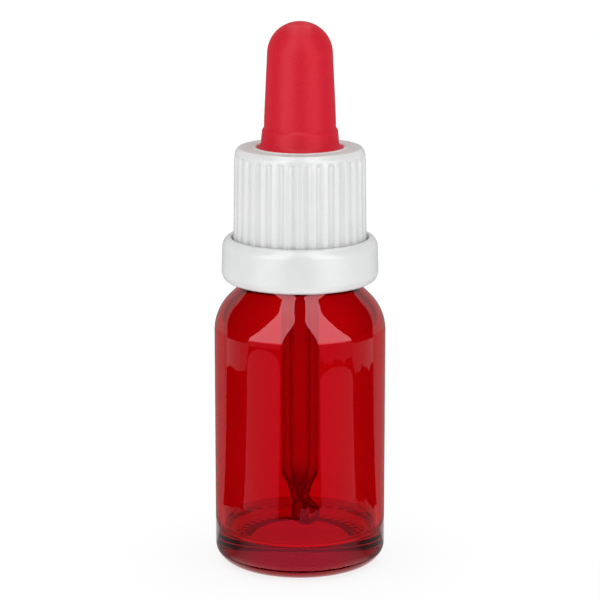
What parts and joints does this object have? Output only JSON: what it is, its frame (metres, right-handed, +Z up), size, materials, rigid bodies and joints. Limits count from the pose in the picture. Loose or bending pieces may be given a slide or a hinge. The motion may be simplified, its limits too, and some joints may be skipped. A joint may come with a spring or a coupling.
{
  "type": "medicine dropper bottle",
  "caption": "Slim red glass bottle with a ribbed white screw cap, loose tamper ring and a dropper of rubber bulb and bent glass pipette.",
  "frame": {"origin": "centre of the bottle's underside, on the surface it stands on", "axes": "+Z up along the bottle's axis, +X towards the side that the pipette's ball tip is bent to, -Y towards the viewer"},
  "size_m": [0.0248, 0.0248, 0.0791],
  "materials": {
    "red_glass": "transparent deep red glass, polished",
    "white_plastic": "white moulded polypropylene, satin gloss",
    "red_rubber": "soft matt red rubber",
    "clear_glass": "clear colourless glass"
  },
  "bodies": {
    "bottle": {"bottle": "red_glass"},
    "tamper_ring": {"tamper_ring": "white_plastic"},
    "dropper": {"glass_pipette": "clear_glass"},
    "bulb": {"rubber_bulb": "red_rubber"},
    "cap": {"screw_cap": "white_plastic"}
  },
  "joints": [
    {"name": "ring_turn", "type": "hinge", "parent": "bottle", "child": "tamper_ring", "pos_m": [0, 0, 0.045], "axis": [0, 0, 1], "continuous": true},
    {"name": "dropper_lift", "type": "slide", "parent": "bottle", "child": "dropper", "axis": [0, 0, 1], "range_m": [0, 0.0571]},
    {"name": "cap_turn", "type": "hinge", "parent": "dropper", "child": "cap", "pos_m": [0, 0, 0.054], "axis": [0, 0, 1], "range_deg": [0, 6852]},
    {"name": "bulb_squeeze", "type": "slide", "parent": "dropper", "child": "bulb", "axis": [0, 0, -1], "range_m": [0, 0.005], "stiffness_N_per_m": 60, "deforming": ["rubber_bulb"]}
  ],
  "couplings": [
    {"joint": "cap_turn", "follows": "dropper_lift", "rad_per_m": 2094.4}
  ]
}
